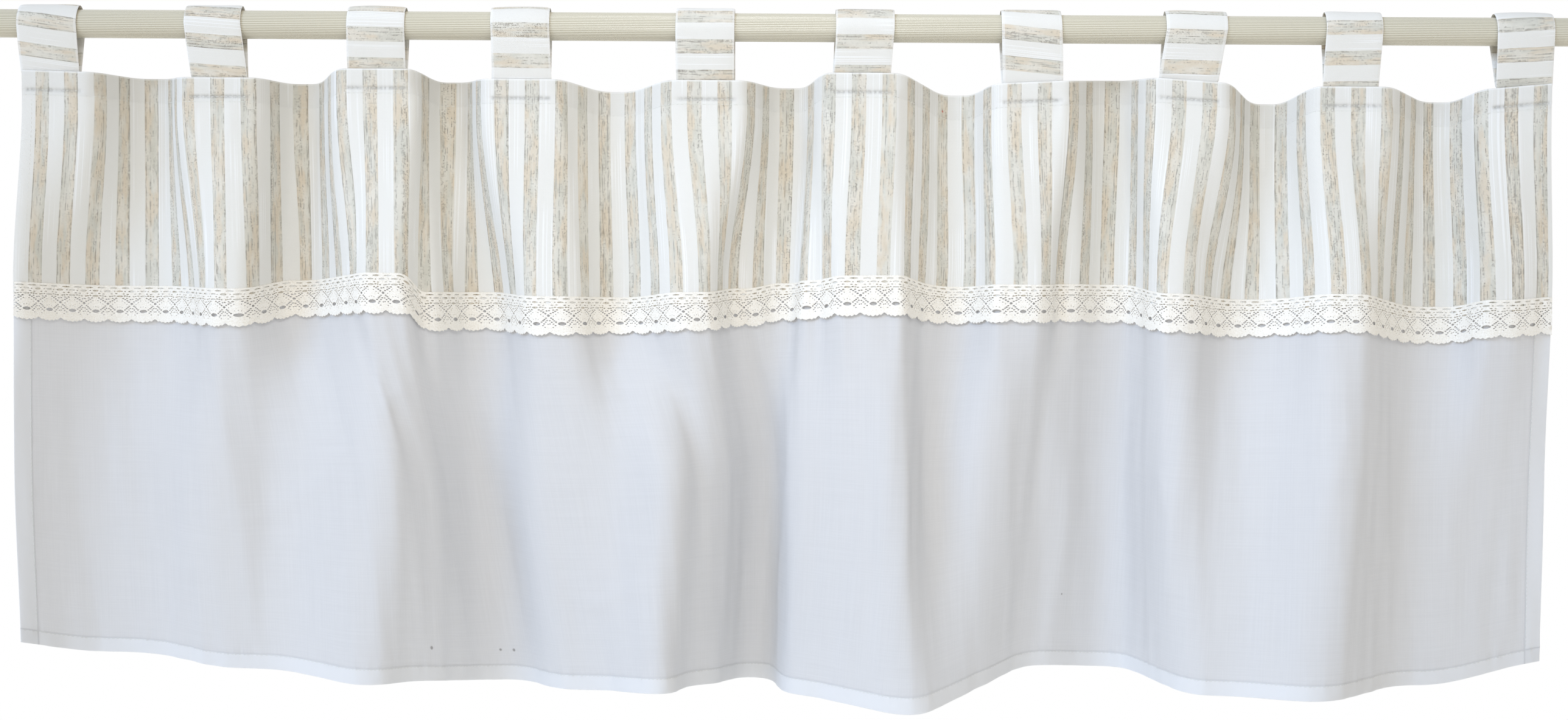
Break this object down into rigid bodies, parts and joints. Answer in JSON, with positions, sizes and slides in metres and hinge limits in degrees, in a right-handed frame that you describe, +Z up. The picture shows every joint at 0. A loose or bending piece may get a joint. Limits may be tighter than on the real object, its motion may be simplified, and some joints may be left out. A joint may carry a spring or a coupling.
{
  "type": "tab-top short curtain on a rod",
  "caption": "Wide, low tab-top curtain on a ribbed rod: striped linen upper panel, scalloped lace edging and a sheer hemmed lower panel",
  "frame": {"origin": "on the rod's axis, half way along the rod", "axes": "+X along the rod to the right as seen from the room, +Y away from the room, behind the cloth, +Z up"},
  "size_m": [1.25, 0.1177, 0.5115],
  "materials": {
    "rod_ivory": "satin ivory paint over fine lengthwise ribs",
    "striped_linen": "matt plain weave, white with beige stripes",
    "white_voile": "matt, thin and half sheer",
    "cotton_lace": "matt ivory bobbin lace, open net"
  },
  "bodies": {
    "root": {"rod": "rod_ivory", "tab_01": "striped_linen", "tab_02": "striped_linen", "tab_03": "striped_linen", "tab_04": "striped_linen", "tab_05": "striped_linen", "tab_06": "striped_linen", "tab_07": "striped_linen", "tab_08": "striped_linen", "tab_09": "striped_linen", "tab_10": "striped_linen", "striped_panel": "striped_linen", "lace_trim": "cotton_lace", "sheer_panel": "white_voile"}
  },
  "joints": []
}
